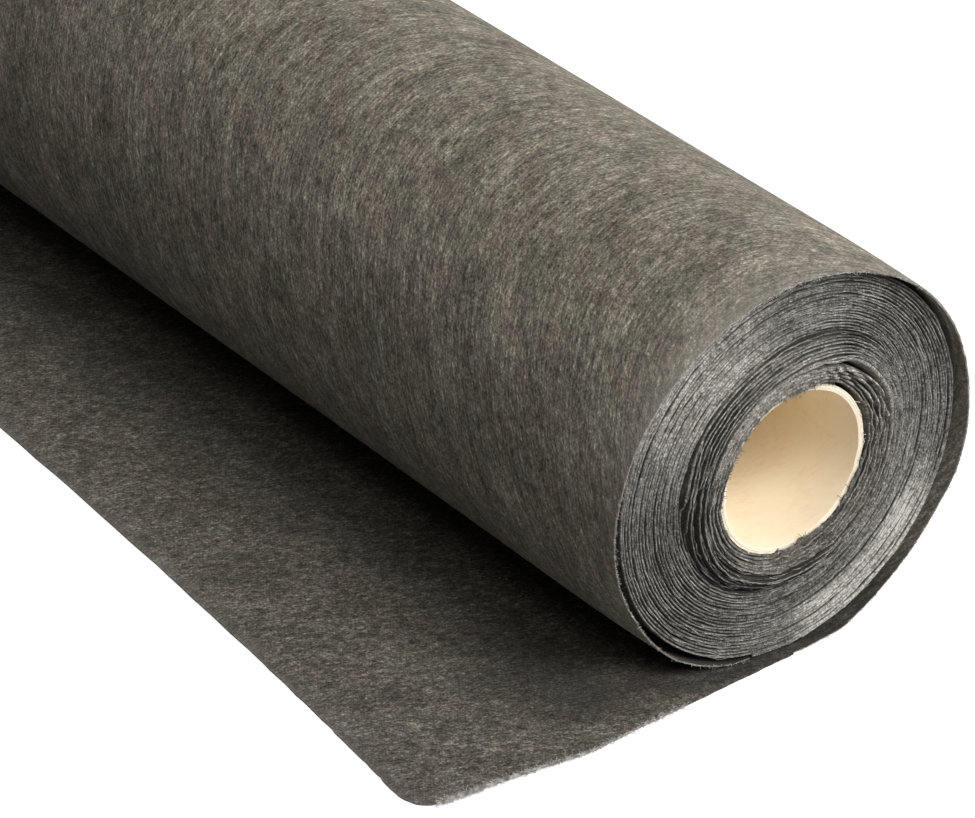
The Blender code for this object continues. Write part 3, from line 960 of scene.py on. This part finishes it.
def white_world(strength):
    """A world that shows white and gives light of this strength."""
    world = bpy.data.worlds.new("studio")
    bpy.context.scene.world = world
    world.use_nodes = True
    tree = world.node_tree
    ground = tree.nodes["Background"]
    ground.inputs["Color"].default_value = WHITE
    ray = tree.nodes.new("ShaderNodeLightPath")
    level = tree.nodes.new("ShaderNodeMapRange")
    level.inputs["To Min"].default_value = strength
    level.inputs["To Max"].default_value = 1
    tree.links.new(ray.outputs["Is Camera Ray"], level.inputs["Value"])
    tree.links.new(level.outputs["Result"], ground.inputs["Strength"])


WORLD_LEVEL = 0.035
LAMP_DISTANCE = 1.6
LAMP_SIZE = 0.8
LIT_PLACE = NEAR_END - 0.07  # along the roll
# Each lamp: its way in degrees, round from +X towards +Y and upwards, its level, and the place along the roll
# that it is turned to. Level 1 shows white as white.
LAMPS = {
    "behind": (130, 60, 0.23, LIT_PLACE),
    "right_low": (50, 15, 0.35, LIT_PLACE),
    "end": (10, 45, 0.74, LIT_PLACE),
    "end_left": (-20, 45, 0.27, LIT_PLACE),
    "far_end": (180, 12, 0.25, FAR_END),
}


def lamp(name, azimuth, elevation, level, aim):
    """A square lamp turned to a place on the tube's axis."""
    azimuth, elevation = math.radians(azimuth), math.radians(elevation)
    to = Vector((
        math.cos(azimuth) * math.cos(elevation), math.sin(azimuth) * math.cos(elevation), math.sin(elevation),
    ))
    light = bpy.data.lights.new(name, "AREA")
    light.shape = "SQUARE"
    light.size = LAMP_SIZE
    light.energy = level * (math.pi * LAMP_DISTANCE) ** 2
    holder = bpy.data.objects.new(name, light)
    bpy.context.scene.collection.objects.link(holder)
    holder.location = Vector((aim, AXIS.y, AXIS.z)) + to * LAMP_DISTANCE
    holder.rotation_euler = (-to).to_track_quat("-Z", "Y").to_euler()


def view_camera(aim):
    """The photograph's view: aim is the point that it shows at AIM_PIXEL."""
    back = Vector((
        math.sin(VIEW_AZIMUTH) * math.cos(VIEW_ELEVATION),
        -math.cos(VIEW_AZIMUTH) * math.cos(VIEW_ELEVATION),
        math.sin(VIEW_ELEVATION),
    ))
    level = (-back).cross(Vector((0, 0, 1))).normalized()
    upright = level.cross(-back)
    right = math.cos(VIEW_ROLL) * level + math.sin(VIEW_ROLL) * upright
    up = -math.sin(VIEW_ROLL) * level + math.cos(VIEW_ROLL) * upright
    ray = (AIM_PIXEL[0] - IMAGE_WIDTH / 2) / FOCAL_PIXELS * right - back
    ray = ray - (AIM_PIXEL[1] - IMAGE_HEIGHT / 2) / FOCAL_PIXELS * up
    place = aim - VIEW_DISTANCE * ray

    data = bpy.data.cameras.new("view")
    data.sensor_fit = "HORIZONTAL"
    data.sensor_width = SENSOR_WIDTH
    data.lens = FOCAL_PIXELS * SENSOR_WIDTH / IMAGE_WIDTH
    data.clip_end = 20
    camera = bpy.data.objects.new("view", data)
    bpy.context.scene.collection.objects.link(camera)
    turn = Matrix((right, up, back)).transposed().to_4x4()
    camera.matrix_world = Matrix.Translation(place) @ turn
    bpy.context.scene.camera = camera


def fuzz(name, paths, thickness, material):
    """A piece of loose fibres with its material."""
    piece = fibres(name, paths, thickness)
    piece.data.materials.append(material)
    return piece


def dress():
    """Makes every piece, gives it its material and attaches it to the body that it moves with."""
    outside = broad_web("charcoal_web", 1.0, FIBRE_LAYERS + LONG_LAYERS)
    upper_side = broad_web("charcoal_web_upper", GROUND_SHADE_SHARE, UPPER_LAYERS)
    edge, board = edge_web(), cardboard()
    fibre = loose_fibre("pale_fibre", (0.30, 0.285, 0.26), (0.80, 0.775, 0.72))
    dark_fibre = loose_fibre("dark_fibre", (0.034, 0.031, 0.026), (0.20, 0.182, 0.154))

    turns, wound_length, face_rim = wound_web()
    turns.data.materials.append(edge)
    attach(turns, "roll")
    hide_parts("wound_web")

    loose, loose_length, loose_rim = loose_turn()
    loose.data.materials.append(outside)
    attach(loose, "outer_wrap")
    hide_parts("loose_turn")

    sheet, sheet_area, sheet_rim = laid_end()
    sheet.data.materials.append(upper_side)
    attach(sheet, "ground_sheet")
    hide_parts("laid_end")
    full = FREE_LENGTH + SKEW_LENGTH + UNDER_ROLL

    tube, tube_rim = core_tube()
    tube.data.materials.append(board)
    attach(tube, "roll")
    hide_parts("core_tube")

    tape = frame["nodes"]["start_tape"]
    tape.data.materials.clear()
    tape.data.materials.append(tape_finish())

    face_fuzz = fuzz("face_fibres", face_fibre_paths(face_rim, 1300), 0.08 * MM, fibre)
    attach(face_fuzz, "roll")
    rim_fuzz = fuzz("first_turn_fibres", rim_fibre_paths(face_rim, 1000), 0.13 * MM, dark_fibre)
    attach(rim_fuzz, "roll")
    board_paths = edge_fibre_paths(tube_rim, 320, 75, (0.3, 0.1, -0.1), 1.1 * MM)
    board_fibre = loose_fibre("board_fibre", (0.86, 0.76, 0.60), (0.96, 0.92, 0.84))
    board_fuzz = fuzz("tube_rim_fibres", board_paths, 0.16 * MM, board_fibre)
    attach(board_fuzz, "roll")
    loose_paths = edge_fibre_paths(loose_rim, 1500, 72, (1, 0, 0), 1.1 * MM)
    loose_fuzz = fuzz("loose_turn_fibres", loose_paths, 0.09 * MM, fibre)
    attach(loose_fuzz, "outer_wrap")
    sheet_paths = edge_fibre_paths(sheet_rim, 4800, 73, (0.5, -0.5, 0.15), 1.8 * MM)
    sheet_fuzz = fuzz("laid_end_fibres", sheet_paths, 0.10 * MM, fibre)
    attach(sheet_fuzz, "ground_sheet")

    # How far the roll can take up the free end is read from its slide,
    # and the free end's pieces get meshes of their own
    taken = max(abs(limit) for limit in SLIDE["range_m"])
    for piece in (sheet, sheet_fuzz):
        1 - taken / full
        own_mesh(piece)


def main():
    bpy.context.scene.view_settings.view_transform = "Standard"
    dress()
    white_ground()
    white_world(WORLD_LEVEL)
    for name, way in LAMPS.items():
        lamp(name, *way)
    view_camera(Vector((NEAR_END, AXIS.y, AXIS.z)))


main()
